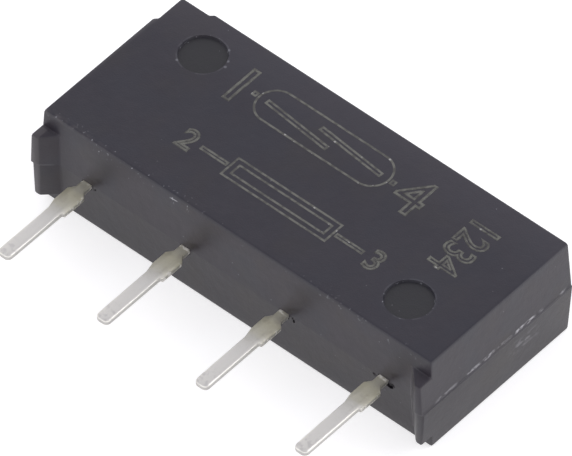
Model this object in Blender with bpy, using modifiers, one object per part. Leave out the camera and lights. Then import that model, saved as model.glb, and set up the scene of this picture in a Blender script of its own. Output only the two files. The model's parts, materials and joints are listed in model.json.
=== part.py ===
"""Moulded single-in-line reed relay, lying on its back with the marked face up.

The origin is the middle of the flat back face. +X runs along the body from terminal 1 to
terminal 4, the pins point along -Y, and +Z comes out of the marked face.
"""

import math
from functools import partial

import bmesh
import bpy
from mathutils import Matrix, Vector

MM = 0.001

# Moulded body. Length and height are taken over the parting line, where the halves are widest.
BODY_LENGTH = 20.11 * MM
BODY_HEIGHT = 8.36 * MM
BODY_THICKNESS = 4.92 * MM
MOULD_DRAFT = 0.12 * MM
MOULD_MISMATCH = 0.05 * MM
PARTING_LAND = 0.04 * MM
EDGE_RADIUS = 0.12 * MM
FINE_EDGE_RADIUS = 0.08 * MM
CORNER_STEP_SIZE = 1.64 * MM
CORNER_STEP_DEPTH = 0.155 * MM
FOOT_STANDOFF = 0.60 * MM
FOOT_MISMATCH = 0.07 * MM
FOOT_TIP_WIDTH = 0.37 * MM
FOOT_ROOT_WIDTH = 1.02 * MM
FOOT_ABOVE_PARTING = 1.60 * MM
FOOT_BELOW_PARTING = 1.80 * MM
EJECTOR_DIAMETER = 2.02 * MM
EJECTOR_DEPTH = 0.10 * MM
EJECTOR_DRAFT = 0.03 * MM
EJECTOR_FROM_END = 2.875 * MM
EJECTOR_FROM_SIDE = 2.02 * MM

# Lead frame
PIN_PITCH = 5.08 * MM
PIN_COUNT = 4
LEAD_THICKNESS = 0.27 * MM
LEAD_EDGE_RADIUS = 0.065 * MM
PIN_WIDTH = 0.64 * MM
PIN_REACH = 4.92 * MM
PIN_TIP_RADIUS = 0.22 * MM
NECK_WIDTH = 0.46 * MM
NECK_LENGTH = 0.40 * MM
SHOULDER_WIDTH = 0.86 * MM
SHOULDER_TAPER = 0.26 * MM
DAM_BAR_START = 1.44 * MM
DAM_BAR_END = 1.80 * MM
SHEAR_SLOPE = 0.48 * MM
ARM_SETBACK = 0.45 * MM
CONTACT_ARM_WIDTH = 1.00 * MM
CONTACT_ARM_OVERRUN = 0.55 * MM
CONTACT_ARM_GAP = 0.52 * MM
ARM_JOG_SETBACK = 0.30 * MM
ARM_JOG_LENGTH = 0.80 * MM
COIL_ARM_WIDTH = 0.90 * MM
COIL_ARM_GAP = 0.60 * MM
WAIST_WIDTH = 0.50 * MM
WAIST_LENGTH = 0.25 * MM
HEAD_LENGTH = 0.60 * MM
ARM_CORNER = 0.12 * MM
LOCK_HOLE_DIAMETER = 0.42 * MM
LOCK_HOLE_SETBACK = 1.10 * MM

# Reed switch. Its axis lies on the contact terminals' arms.
REED_Y = 1.10 * MM
REED_LEAD_DIAMETER = 0.50 * MM
REED_LEAD_OVERRUN = 0.03 * MM
GLASS_LENGTH = 12.70 * MM
GLASS_DIAMETER = 1.80 * MM
GLASS_WALL = 0.22 * MM
GLASS_END_RADIUS = 0.50 * MM
SEAL_LENGTH = 1.30 * MM
SEAL_FLARE = 0.45 * MM
SWAGE_LENGTH = 0.50 * MM
BLADE_WIDTH = 1.00 * MM
BLADE_THICKNESS = 0.20 * MM
BLADE_OVERLAP = 0.90 * MM
BLADE_EDGE = 0.04 * MM
CONTACT_GAP = 0.10 * MM

# Coil
BOBBIN_OVERHANG = 0.25 * MM
BOBBIN_FLANGE = 3.50 * MM
BOBBIN_FLANGE_THICKNESS = 0.40 * MM
BOBBIN_FLANGE_CORNER = 0.30 * MM
BOBBIN_TUBE_DIAMETER = 2.30 * MM
BOBBIN_BORE = 1.88 * MM
WIRE_SLOT = 0.26 * MM
WINDING_DIAMETER = 3.24 * MM
WINDING_ROUND = 0.10 * MM
WIRE_DIAMETER = 0.08 * MM
BEAD_LENGTH = 0.68 * MM
BEAD_WIDTH = 0.52 * MM
BEAD_HEIGHT = 0.26 * MM

# Room between two pieces, and how far a cutter runs past the face that it opens
CLEARANCE = 0.02 * MM
THROUGH = 0.30 * MM

ROUND_SIDES = 32

# Levels and places that follow from the sizes above
PARTING_Z = BODY_THICKNESS / 2
FRONT_Y = -BODY_HEIGHT / 2
FOOT_TOP_Z = PARTING_Z + FOOT_ABOVE_PARTING
FOOT_BOTTOM_Z = PARTING_Z - FOOT_BELOW_PARTING
SEAT_Y = FRONT_Y - FOOT_STANDOFF
LEAD_TOP_Z = PARTING_Z
REED_Z = LEAD_TOP_Z + CLEARANCE + REED_LEAD_DIAMETER / 2
TERMINAL_X = [(i - (PIN_COUNT - 1) / 2) * PIN_PITCH for i in range(PIN_COUNT)]
BOBBIN_LENGTH = GLASS_LENGTH + 2 * BOBBIN_OVERHANG
CONTACT_ARM_X = BOBBIN_LENGTH / 2 + CONTACT_ARM_GAP + CONTACT_ARM_WIDTH / 2
CONTACT_ARM_JOG = CONTACT_ARM_X - abs(TERMINAL_X[0])
REED_LEAD_END = CONTACT_ARM_X + CONTACT_ARM_WIDTH / 2 + REED_LEAD_OVERRUN
SEAL_INNER = GLASS_LENGTH / 2 - SEAL_LENGTH
BLADE_ROOT = SEAL_INNER - SWAGE_LENGTH
FLANGE_FRONT_Y = REED_Y - BOBBIN_FLANGE / 2
COIL_ARM_END_Y = FLANGE_FRONT_Y - COIL_ARM_GAP
BEAD_Y = COIL_ARM_END_Y - HEAD_LENGTH / 2
BEAD_Z = LEAD_TOP_Z + CLEARANCE


def clear_scene():
    """Removes whatever the file starts with."""
    for obj in list(bpy.data.objects):
        bpy.data.objects.remove(obj, do_unlink=True)


def new_collection(name):
    collection = bpy.data.collections.new(name)
    bpy.context.scene.collection.children.link(collection)
    return collection


def new_material(name, colour, roughness, metallic=0.0):
    """A plain Principled material."""
    material = bpy.data.materials.new(name)
    material.use_nodes = True
    material.diffuse_color = (*colour, 1.0)
    shader = material.node_tree.nodes["Principled BSDF"]
    shader.inputs["Base Color"].default_value = (*colour, 1.0)
    shader.inputs["Roughness"].default_value = roughness
    shader.inputs["Metallic"].default_value = metallic
    return material


def add_mesh(name, bm, collection, material=None):
    """Turns a bmesh into an object of its own."""
    bmesh.ops.recalc_face_normals(bm, faces=bm.faces[:])
    mesh = bpy.data.meshes.new(name)
    bm.to_mesh(mesh)
    bm.free()
    obj = bpy.data.objects.new(name, mesh)
    collection.objects.link(obj)
    if material:
        mesh.materials.append(material)
    else:
        obj.hide_render = True
        obj.display_type = "WIRE"
    return obj


def shade_round(obj, angle=math.radians(35)):
    obj.data.shade_smooth()
    obj.data.set_sharp_from_angle(angle=angle)


def boolean(obj, other, operation="DIFFERENCE"):
    modifier = obj.modifiers.new(f"{operation.lower()} {other.name}", "BOOLEAN")
    modifier.operation = operation
    modifier.solver = "EXACT"
    modifier.object = other


def bevel(obj, width, segments=2, angle=None):
    """Rounds the edges sharper than the angle or, without one, those that carry a bevel weight."""
    modifier = obj.modifiers.new("edges", "BEVEL")
    modifier.width = width
    modifier.segments = segments
    modifier.use_clamp_overlap = False
    if angle is None:
        modifier.limit_method = "WEIGHT"
        return
    modifier.limit_method = "ANGLE"
    modifier.angle_limit = angle


def arc(centre, radius, start, end, steps=5):
    """Points on an arc from one angle to another, in degrees."""
    angles = [math.radians(start + (end - start) * i / steps) for i in range(steps + 1)]
    return [(centre[0] + radius * math.cos(a), centre[1] + radius * math.sin(a)) for a in angles]


def box(name, low, high, collection, material=None):
    """A box between two corners."""
    bm = bmesh.new()
    bmesh.ops.create_cube(bm, size=1.0)
    size = Vector(high) - Vector(low)
    middle = (Vector(high) + Vector(low)) / 2
    bmesh.ops.scale(bm, vec=size, verts=bm.verts)
    bmesh.ops.translate(bm, vec=middle, verts=bm.verts)
    return add_mesh(name, bm, collection, material)


def rod(name, start, end, radius, collection, material=None, end_radius=None, sides=ROUND_SIDES):
    """A cylinder or cone from one point to another."""
    span = Vector(end) - Vector(start)
    turn = span.to_track_quat("Z", "Y").to_matrix().to_4x4()
    bm = bmesh.new()
    bmesh.ops.create_cone(
        bm,
        cap_ends=True,
        segments=sides,
        radius1=radius,
        radius2=radius if end_radius is None else end_radius,
        depth=span.length,
        matrix=Matrix.Translation(Vector(start) + span / 2) @ turn,
    )
    return add_mesh(name, bm, collection, material)


def plate(name, outline, bottom, top, collection, material=None):
    """A flat outline in the XY plane, extruded from one level to another."""
    bm = bmesh.new()
    face = bm.faces.new([bm.verts.new((x, y, bottom)) for x, y in outline])
    raised = bmesh.ops.extrude_face_region(bm, geom=[face])["geom"]
    moved = [item for item in raised if isinstance(item, bmesh.types.BMVert)]
    bmesh.ops.translate(bm, vec=(0, 0, top - bottom), verts=moved)
    return add_mesh(name, bm, collection, material)


def turned(name, profile, centre, collection, material=None):
    """A closed profile of (radius, height) points, turned about an axis laid along X."""
    mesh = bpy.data.meshes.new(name)
    count = len(profile)
    edges = [(i, (i + 1) % count) for i in range(count)]
    mesh.from_pydata([(radius, 0, height) for radius, height in profile], edges, [])
    obj = bpy.data.objects.new(name, mesh)
    collection.objects.link(obj)
    mesh.materials.append(material)
    obj.location = centre
    obj.rotation_euler = (0, math.pi / 2, 0)
    screw = obj.modifiers.new("turn", "SCREW")
    screw.steps = ROUND_SIDES
    screw.render_steps = ROUND_SIDES
    screw.use_merge_vertices = True
    screw.merge_threshold = 0.001 * MM
    screw.use_smooth_shade = True
    return obj


def wire(name, points, radius, collection, material=None):
    """A round wire along a smooth route, as a closed mesh."""
    curve = bpy.data.curves.new(name, "CURVE")
    curve.dimensions = "3D"
    curve.bevel_depth = radius
    curve.bevel_resolution = 1
    curve.resolution_u = 5
    curve.use_fill_caps = True
    spline = curve.splines.new("BEZIER")
    spline.bezier_points.add(len(points) - 1)
    for knot, point in zip(spline.bezier_points, points):
        knot.co = point
        knot.handle_left_type = "AUTO"
        knot.handle_right_type = "AUTO"
    guide = bpy.data.objects.new(name + "_route", curve)
    collection.objects.link(guide)
    bpy.context.view_layer.update()
    evaluated = guide.evaluated_get(bpy.context.evaluated_depsgraph_get())
    bm = bmesh.new()
    bm.from_mesh(bpy.data.meshes.new_from_object(evaluated))
    bmesh.ops.remove_doubles(bm, verts=bm.verts[:], dist=0.0005 * MM)
    bpy.data.objects.remove(guide, do_unlink=True)
    return add_mesh(name, bm, collection, material)


def body_outline():
    """The body's plan at the parting line, anticlockwise, with its stepped back left corner."""
    x = BODY_LENGTH / 2
    y = BODY_HEIGHT / 2
    near = CORNER_STEP_DEPTH
    far = CORNER_STEP_SIZE
    return [
        (-x, -y),
        (x, -y),
        (x, y),
        (-x + far + near, y),
        (-x + far, y - near),
        (-x + near, y - near),
        (-x + near, y - far),
        (-x, y - far - near),
    ]


def drafted_block(outline):
    """The body's two drafted halves on either side of the narrow land at the parting line."""
    bm = bmesh.new()
    face = bm.faces.new([bm.verts.new((x, y, PARTING_Z - PARTING_LAND / 2)) for x, y in outline])
    raised = bmesh.ops.extrude_face_region(bm, geom=[face])["geom"]
    moved = [item for item in raised if isinstance(item, bmesh.types.BMVert)]
    bmesh.ops.translate(bm, vec=(0, 0, PARTING_LAND), verts=moved)
    bmesh.ops.recalc_face_normals(bm, faces=bm.faces[:])
    for side in (1, -1):
        end = [face for face in bm.faces if face.normal.z * side > 0.99]
        bmesh.ops.inset_region(
            bm,
            faces=end,
            thickness=MOULD_DRAFT,
            depth=(BODY_THICKNESS - PARTING_LAND) / 2,
            use_even_offset=True,
            use_boundary=True,
        )
    return bm


def extrude_feet(bm):
    """Cuts the two foot patches out of the front face and draws them out to the seating plane.

    The upper half of the mould makes its share of each foot a little longer than the lower half.
    """
    root_x = BODY_LENGTH / 2 - FOOT_ROOT_WIDTH
    tip_x = BODY_LENGTH / 2 - FOOT_TIP_WIDTH
    planes = [((0, 0, FOOT_BOTTOM_Z), (0, 0, 1)), ((0, 0, FOOT_TOP_Z), (0, 0, 1))]
    planes += [((root_x, 0, 0), (1, 0, 0)), ((-root_x, 0, 0), (1, 0, 0))]
    for point, normal in planes:
        geometry = bm.verts[:] + bm.edges[:] + bm.faces[:]
        bmesh.ops.bisect_plane(bm, geom=geometry, dist=0.0001 * MM, plane_co=point, plane_no=normal)
    for side in (-1, 1):
        patch = []
        for face in bm.faces:
            middle = face.calc_center_median()
            within = FOOT_BOTTOM_Z < middle.z < FOOT_TOP_Z and middle.x * side > root_x
            if face.normal.y < -0.9 and within:
                patch.append(face)
        drawn = bmesh.ops.extrude_face_region(bm, geom=patch)["geom"]
        for vert in [item for item in drawn if isinstance(item, bmesh.types.BMVert)]:
            vert.co.y = SEAT_Y if vert.co.z > PARTING_Z else SEAT_Y + FOOT_MISMATCH
            if abs(vert.co.x) < root_x + MOULD_DRAFT:
                vert.co.x = side * tip_x
        bmesh.ops.delete(bm, geom=[face for face in patch if face.is_valid], context="FACES")
    bmesh.ops.dissolve_limit(
        bm, angle_limit=math.radians(0.3), verts=bm.verts[:], edges=bm.edges[:]
    )


def shift_lower_half(bm):
    """Moves what the lower half of the mould makes, so that the halves meet in a small step."""
    lower = [vert for vert in bm.verts if vert.co.z < PARTING_Z]
    bmesh.ops.translate(bm, vec=(MOULD_MISMATCH, 0, 0), verts=lower)


def on_foot(point):
    """Whether a corner belongs to one of the feet or to its root."""
    root_x = BODY_LENGTH / 2 - FOOT_ROOT_WIDTH
    beside = point.y < 0 and abs(point.x) > root_x - MOULD_DRAFT
    return beside and FOOT_BOTTOM_Z - CLEARANCE < point.z < FOOT_TOP_Z + CLEARANCE


def weigh_edges(bm):
    """Marks for rounding every sharp edge but those of the step at the parting line.

    The feet and the slight turns of the stepped corner get the finer edge.
    """
    weights = bm.edges.layers.float.new("bevel_weight_edge")
    for edge in bm.edges:
        on_land = all(abs(vert.co.z - PARTING_Z) < PARTING_LAND for vert in edge.verts)
        level = abs(edge.verts[0].co.z - edge.verts[1].co.z) < PARTING_LAND / 2
        turn = edge.calc_face_angle(0)
        if turn < math.radians(30) or (on_land and level):
            continue
        fine = turn < math.radians(60) or any(on_foot(vert.co) for vert in edge.verts)
        edge[weights] = FINE_EDGE_RADIUS / EDGE_RADIUS if fine else 1.0


def add_ejector_marks(body, cutters):
    """Two round marks on each face, where the mould's ejector pins pushed."""
    x = BODY_LENGTH / 2 - EJECTOR_FROM_END
    y = BODY_HEIGHT / 2 - EJECTOR_FROM_SIDE
    radius = EJECTOR_DIAMETER / 2
    slope = EJECTOR_DRAFT * THROUGH / EJECTOR_DEPTH
    for face, floor, outside, places in (
        ("marked", BODY_THICKNESS - EJECTOR_DEPTH, BODY_THICKNESS + THROUGH, [(-x, y), (x, -y)]),
        ("back", EJECTOR_DEPTH, -THROUGH, [(-x, -y), (x, y)]),
    ):
        for number, (px, py) in enumerate(places, start=1):
            cutter = rod(
                f"cut_{face}_ejector_{number}",
                (px, py, floor),
                (px, py, outside),
                radius - EJECTOR_DRAFT,
                cutters,
                end_radius=radius + slope,
            )
            boolean(body, cutter)


def make_body(parts, cutters, material):
    bm = drafted_block(body_outline())
    extrude_feet(bm)
    shift_lower_half(bm)
    weigh_edges(bm)
    body = add_mesh("moulded_body", bm, parts, material)
    bevel(body, EDGE_RADIUS)
    add_ejector_marks(body, cutters)
    shade_round(body)
    return body


def pin_outline_right():
    """A terminal's +X edge outside the body, from its tip past the sheared dam bar to its neck."""
    half = PIN_WIDTH / 2
    tip = FRONT_Y - PIN_REACH
    shoulder = SHOULDER_WIDTH / 2
    corner = arc((half - PIN_TIP_RADIUS, tip + PIN_TIP_RADIUS), PIN_TIP_RADIUS, -90, 0)
    return corner + [
        (half, FRONT_Y - DAM_BAR_END),
        (shoulder, FRONT_Y - DAM_BAR_END),
        (shoulder, FRONT_Y - NECK_LENGTH - SHOULDER_TAPER),
        (NECK_WIDTH / 2, FRONT_Y - NECK_LENGTH),
        (NECK_WIDTH / 2, FRONT_Y + ARM_SETBACK),
    ]


def pin_outline_left():
    """The -X edge, from the neck to the tip, where the shears left a slope and no square step."""
    half = PIN_WIDTH / 2
    tip = FRONT_Y - PIN_REACH
    shoulder = SHOULDER_WIDTH / 2
    corner = arc((PIN_TIP_RADIUS - half, tip + PIN_TIP_RADIUS), PIN_TIP_RADIUS, 180, 270)
    return [
        (-NECK_WIDTH / 2, FRONT_Y + ARM_SETBACK),
        (-NECK_WIDTH / 2, FRONT_Y - NECK_LENGTH),
        (-shoulder, FRONT_Y - NECK_LENGTH - SHOULDER_TAPER),
        (-shoulder, FRONT_Y - DAM_BAR_START),
        (-half, FRONT_Y - DAM_BAR_START - SHEAR_SLOPE),
    ] + corner


def contact_arm_outline(jog, grow=0.0):
    """A contact terminal's arm inside the body, from its +X root corner round to its -X one.

    The jog takes it sideways from its pin to its place beside the bobbin.
    """
    half = CONTACT_ARM_WIDTH / 2 + grow
    root = FRONT_Y + ARM_SETBACK - grow
    end = REED_Y + CONTACT_ARM_OVERRUN + grow
    corner = ARM_CORNER + grow
    jog_end = FLANGE_FRONT_Y - ARM_JOG_SETBACK
    jog_start = jog_end - ARM_JOG_LENGTH
    right = arc((jog + half - corner, end - corner), corner, 0, 90, 3)
    left = arc((jog + corner - half, end - corner), corner, 90, 180, 3)
    rising = [(half, root), (half, jog_start), (half + jog, jog_end)]
    falling = [(jog - half, jog_end), (-half, jog_start), (-half, root)]
    return rising + right + left + falling


def coil_arm_outline(grow=0.0):
    """A coil terminal's arm, with the waist that the winding's end is wrapped round."""
    half = COIL_ARM_WIDTH / 2 + grow
    waist = WAIST_WIDTH / 2 + grow
    root = FRONT_Y + ARM_SETBACK - grow
    end = COIL_ARM_END_Y + grow
    neck_top = COIL_ARM_END_Y - HEAD_LENGTH - grow
    neck_bottom = COIL_ARM_END_Y - HEAD_LENGTH - WAIST_LENGTH + grow
    corner = ARM_CORNER + grow
    right = arc((half - corner, end - corner), corner, 0, 90, 3)
    left = arc((corner - half, end - corner), corner, 90, 180, 3)
    steps = [(half, root), (half, neck_bottom), (waist, neck_bottom), (waist, neck_top)]
    steps += [(half, neck_top)]
    mirrored = [(-x, y) for x, y in reversed(steps)]
    return steps + right + left + mirrored


def shifted(outline, x):
    return [(px + x, py) for px, py in outline]


def make_terminal(number, arm, parts, cutters, material):
    """One stamped terminal: pin, shoulder, neck and the arm that the moulding holds."""
    x = TERMINAL_X[number - 1]
    outline = shifted(pin_outline_right() + arm() + pin_outline_left(), x)
    bottom = LEAD_TOP_Z - LEAD_THICKNESS
    terminal = plate(f"terminal_{number}", outline, bottom, LEAD_TOP_Z, parts, material)
    bevel(terminal, LEAD_EDGE_RADIUS, angle=math.radians(50))
    hole_y = FRONT_Y + LOCK_HOLE_SETBACK
    hole = rod(
        f"cut_lock_hole_{number}",
        (x, hole_y, bottom - THROUGH),
        (x, hole_y, LEAD_TOP_Z + THROUGH),
        LOCK_HOLE_DIAMETER / 2,
        cutters,
        sides=20,
    )
    boolean(terminal, hole)
    shade_round(terminal)
    return terminal


def terminal_pocket(number, arm, cutters):
    """The room that one terminal takes inside the body, open at the front face."""
    x = TERMINAL_X[number - 1]
    half = NECK_WIDTH / 2 + CLEARANCE
    throat = [(-half, FRONT_Y - THROUGH), (half, FRONT_Y - THROUGH)]
    throat_top = FRONT_Y + ARM_SETBACK - CLEARANCE
    inner = [(half, throat_top)] + arm(CLEARANCE) + [(-half, throat_top)]
    bottom = LEAD_TOP_Z - LEAD_THICKNESS - CLEARANCE
    top = LEAD_TOP_Z + CLEARANCE
    outline = shifted(throat + inner, x)
    return plate(f"pocket_terminal_{number}", outline, bottom, top, cutters)


def glass_profile():
    """The capsule's section: rounded ends outside, a flared chamber inside, a bore at each seal."""
    half = GLASS_LENGTH / 2
    outer = GLASS_DIAMETER / 2
    inner = outer - GLASS_WALL
    bore = REED_LEAD_DIAMETER / 2 + CLEARANCE
    flare = SEAL_INNER - SEAL_FLARE
    centre = outer - GLASS_END_RADIUS
    top = arc((centre, half - GLASS_END_RADIUS), GLASS_END_RADIUS, 90, 0)
    bottom = arc((centre, GLASS_END_RADIUS - half), GLASS_END_RADIUS, 0, -90)
    inside = [(bore, -half), (bore, -SEAL_INNER), (inner, -flare)]
    inside += [(inner, flare), (bore, SEAL_INNER), (bore, half)]
    return top + bottom + inside


def winding_profile():
    """The winding's section: flat inside on the tube, its outer corners rounded."""
    inner = BOBBIN_TUBE_DIAMETER / 2 + CLEARANCE
    outer = WINDING_DIAMETER / 2
    half = BOBBIN_LENGTH / 2 - BOBBIN_FLANGE_THICKNESS - CLEARANCE
    centre = outer - WINDING_ROUND
    top = arc((centre, half - WINDING_ROUND), WINDING_ROUND, 90, 0, 3)
    bottom = arc((centre, WINDING_ROUND - half), WINDING_ROUND, 0, -90, 3)
    return [(inner, half)] + top + bottom + [(inner, -half)]


def make_reed_lead(number, side, parts, material):
    """A reed's round lead, drawn flat at its inner end where the blade starts."""
    lead = rod(
        f"reed_lead_{number}",
        (side * REED_LEAD_END, REED_Y, REED_Z),
        (side * SEAL_INNER, REED_Y, REED_Z),
        REED_LEAD_DIAMETER / 2,
        parts,
        material,
        sides=20,
    )
    bm = bmesh.new()
    bm.from_mesh(lead.data)
    ends = [face for face in bm.faces if face.normal.x * side < -0.9]
    drawn = bmesh.ops.extrude_face_region(bm, geom=ends)["geom"]
    bmesh.ops.delete(bm, geom=[face for face in ends if face.is_valid], context="FACES")
    swaged = [item for item in drawn if isinstance(item, bmesh.types.BMVert)]
    bmesh.ops.translate(bm, vec=(-side * (SWAGE_LENGTH - CLEARANCE), 0, 0), verts=swaged)
    centre = Vector((0, REED_Y, REED_Z))
    flatten = (1, BLADE_WIDTH / REED_LEAD_DIAMETER, BLADE_THICKNESS / REED_LEAD_DIAMETER)
    bmesh.ops.scale(bm, vec=flatten, space=Matrix.Translation(-centre), verts=swaged)
    bmesh.ops.translate(bm, vec=(0, 0, side * blade_offset()), verts=swaged)
    bmesh.ops.recalc_face_normals(bm, faces=bm.faces[:])
    bm.to_mesh(lead.data)
    bm.free()
    shade_round(lead)
    return lead


def blade_offset():
    """How far each blade's middle lies from the reed's axis, one above it and one below."""
    return (CONTACT_GAP + BLADE_THICKNESS) / 2


def make_reed_blade(number, side, parts, material):
    """A flat blade from its swaged root to the contact, with its origin on the flexing root."""
    root = side * BLADE_ROOT
    tip = -side * BLADE_OVERLAP / 2
    z = side * blade_offset()
    half = Vector((0, BLADE_WIDTH / 2, BLADE_THICKNESS / 2))
    low = Vector((min(0, tip - root), 0, 0)) - half
    high = Vector((max(0, tip - root), 0, 0)) + half
    blade = box(f"reed_blade_{number}", low, high, parts, material)
    blade.location = (root, REED_Y, REED_Z + z)
    bevel(blade, BLADE_EDGE, angle=math.radians(60))
    shade_round(blade)
    return blade


def make_bobbin(parts, cutters, material):
    """The coil former: a tube with a slotted square flange at each end."""
    half = BOBBIN_LENGTH / 2
    start = (-half, REED_Y, REED_Z)
    end = (half, REED_Y, REED_Z)
    bobbin = rod("bobbin", start, end, BOBBIN_TUBE_DIAMETER / 2, parts, material)
    reach = BOBBIN_FLANGE / 2
    for number, side in ((1, -1), (2, 1)):
        near = side * (half - BOBBIN_FLANGE_THICKNESS)
        far = side * half
        flange = box(
            f"join_flange_{number}",
            (min(near, far), REED_Y - reach, REED_Z - reach),
            (max(near, far), REED_Y + reach, REED_Z + reach),
            cutters,
        )
        round_flange(flange)
        boolean(bobbin, flange, "UNION")
        hub = BOBBIN_TUBE_DIAMETER / 2
        slot = box(
            f"cut_wire_slot_{number}",
            (min(near, far) - THROUGH, REED_Y - reach - THROUGH, REED_Z - WIRE_SLOT / 2),
            (max(near, far) + THROUGH, REED_Y - hub, REED_Z + WIRE_SLOT / 2),
            cutters,
        )
        boolean(bobbin, slot)
    bore = rod(
        "cut_bobbin_bore",
        (-half - THROUGH, REED_Y, REED_Z),
        (half + THROUGH, REED_Y, REED_Z),
        BOBBIN_BORE / 2,
        cutters,
    )
    boolean(bobbin, bore)
    shade_round(bobbin)
    return bobbin


def round_flange(flange):
    """Rounds the four corners that a flange shows along the coil's axis."""
    bm = bmesh.new()
    bm.from_mesh(flange.data)
    lengthwise = []
    for edge in bm.edges:
        span = edge.verts[1].co - edge.verts[0].co
        if abs(span.x) > 0.99 * span.length:
            lengthwise.append(edge)
    bmesh.ops.bevel(
        bm,
        geom=lengthwise,
        offset=BOBBIN_FLANGE_CORNER,
        segments=4,
        profile=0.5,
        affect="EDGES",
    )
    bm.to_mesh(flange.data)
    bm.free()


def wire_route(side):
    """From the flange's slot, down in front of the coil and along to the coil terminal's bead."""
    slot_x = side * (BOBBIN_LENGTH / 2 - BOBBIN_FLANGE_THICKNESS / 2)
    hub_y = REED_Y - BOBBIN_TUBE_DIAMETER / 2
    room = COIL_ARM_GAP
    bead_x = side * abs(TERMINAL_X[1])
    entry_z = BEAD_Z + BEAD_HEIGHT * 0.35
    run = abs(slot_x - bead_x)
    return [
        (slot_x, hub_y - WIRE_DIAMETER, REED_Z),
        (slot_x, FLANGE_FRONT_Y - room * 0.25, REED_Z),
        (slot_x - side * run * 0.16, FLANGE_FRONT_Y - room * 0.75, REED_Z),
        (slot_x - side * run * 0.60, FLANGE_FRONT_Y - room * 0.95, (REED_Z + entry_z) / 2),
        (bead_x + side * BEAD_LENGTH * 0.75, BEAD_Y, entry_z),
        (bead_x, BEAD_Y, entry_z),
    ]


def make_bead(number, x, tunnel, parts, material):
    """A solder bead, domed above the terminal's head, with the winding's end inside it."""
    bm = bmesh.new()
    bmesh.ops.create_uvsphere(bm, u_segments=20, v_segments=10, radius=1.0)
    below = [vert for vert in bm.verts if vert.co.z < -0.01]
    bmesh.ops.delete(bm, geom=below, context="VERTS")
    rim = [edge for edge in bm.edges if edge.is_boundary]
    bmesh.ops.holes_fill(bm, edges=rim, sides=0)
    bmesh.ops.scale(bm, vec=(BEAD_LENGTH / 2, BEAD_WIDTH / 2, BEAD_HEIGHT), verts=bm.verts)
    bmesh.ops.translate(bm, vec=(x, BEAD_Y, BEAD_Z), verts=bm.verts)
    bead = add_mesh(f"solder_joint_{number}", bm, parts, material)
    boolean(bead, tunnel)
    shade_round(bead)
    return bead


def coil_pockets(cutters):
    """The room inside the body for the bobbin, the winding, the leads and the solder beads."""
    half = BOBBIN_LENGTH / 2 + CLEARANCE
    reach = BOBBIN_FLANGE / 2 + CLEARANCE
    inside = BOBBIN_LENGTH / 2 - BOBBIN_FLANGE_THICKNESS - CLEARANCE
    pockets = []
    for number, side in ((1, -1), (2, 1)):
        low = (min(side * half, side * inside), REED_Y - reach, REED_Z - reach)
        high = (max(side * half, side * inside), REED_Y + reach, REED_Z + reach)
        pockets.append(box(f"pocket_flange_{number}", low, high, cutters))
        lead = rod(
            f"pocket_lead_{number}",
            (side * inside, REED_Y, REED_Z),
            (side * (REED_LEAD_END + CLEARANCE), REED_Y, REED_Z),
            REED_LEAD_DIAMETER / 2 + CLEARANCE,
            cutters,
        )
        pockets.append(lead)
        bead_x = side * abs(TERMINAL_X[1])
        middle = Vector((bead_x, BEAD_Y, BEAD_Z))
        size = Vector((BEAD_LENGTH / 2, BEAD_WIDTH / 2, BEAD_HEIGHT)) + Vector([CLEARANCE] * 3)
        low = (middle.x - size.x, middle.y - size.y, BEAD_Z - CLEARANCE)
        high = (middle.x + size.x, middle.y + size.y, BEAD_Z + size.z)
        pockets.append(box(f"pocket_bead_{number}", low, high, cutters))
    coil = rod(
        "pocket_winding",
        (-BOBBIN_LENGTH / 2, REED_Y, REED_Z),
        (BOBBIN_LENGTH / 2, REED_Y, REED_Z),
        WINDING_DIAMETER / 2 + CLEARANCE,
        cutters,
    )
    pockets.append(coil)
    return pockets


def build():
    clear_scene()
    parts = new_collection("pcb_relay")
    cutters = new_collection("cutters")
    black = new_material("black_moulding", (0.045, 0.044, 0.048), 0.62)
    tin = new_material("tinned_lead_frame", (0.60, 0.59, 0.57), 0.32, 1.0)
    nickel_iron = new_material("nickel_iron", (0.55, 0.53, 0.50), 0.30, 1.0)
    glass = new_material("green_glass", (0.30, 0.42, 0.34), 0.05)
    amber = new_material("bobbin_plastic", (0.16, 0.15, 0.14), 0.5)
    copper = new_material("enamelled_copper", (0.62, 0.25, 0.10), 0.35, 1.0)
    solder = new_material("solder", (0.62, 0.62, 0.62), 0.28, 1.0)

    body = make_body(parts, cutters, black)
    first_arm = partial(contact_arm_outline, -CONTACT_ARM_JOG)
    last_arm = partial(contact_arm_outline, CONTACT_ARM_JOG)
    arms = [first_arm, coil_arm_outline, coil_arm_outline, last_arm]
    for number, arm in enumerate(arms, start=1):
        make_terminal(number, arm, parts, cutters, tin)
        boolean(body, terminal_pocket(number, arm, cutters))
    for pocket in coil_pockets(cutters):
        boolean(body, pocket)

    make_bobbin(parts, cutters, amber)
    axis = (0, REED_Y, REED_Z)
    turned("coil_winding", winding_profile(), axis, parts, copper)
    turned("glass_capsule", glass_profile(), axis, parts, glass)
    for number, side in ((1, -1), (2, 1)):
        make_reed_lead(number, side, parts, nickel_iron)
        make_reed_blade(number, side, parts, nickel_iron)

    for name, number, side in (("coil_start_wire", 2, -1), ("coil_finish_wire", 3, 1)):
        route = wire_route(side)
        wire(name, route, WIRE_DIAMETER / 2, parts, copper)
        tunnel = wire(f"pocket_{name}", route, WIRE_DIAMETER / 2 + CLEARANCE, cutters)
        boolean(body, tunnel)
        bead_x = side * abs(TERMINAL_X[1])
        make_bead(number, bead_x, tunnel, parts, solder)


build()
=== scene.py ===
"""Looks of a slim moulded reed relay that lies on its back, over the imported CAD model.

The frame's axes are used throughout: +X runs from terminal 1 to terminal 4, the pins point
along -Y, and +Z comes out of the marked face. Lengths in the classes are in millimetres. A
span says where a mask leaves 0 and where it reaches 1, and a strip says where it starts and
ends and how wide its soft borders are.
"""

import json
import logging
import math
from collections.abc import Callable
from dataclasses import dataclass, field
from enum import Enum

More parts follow.
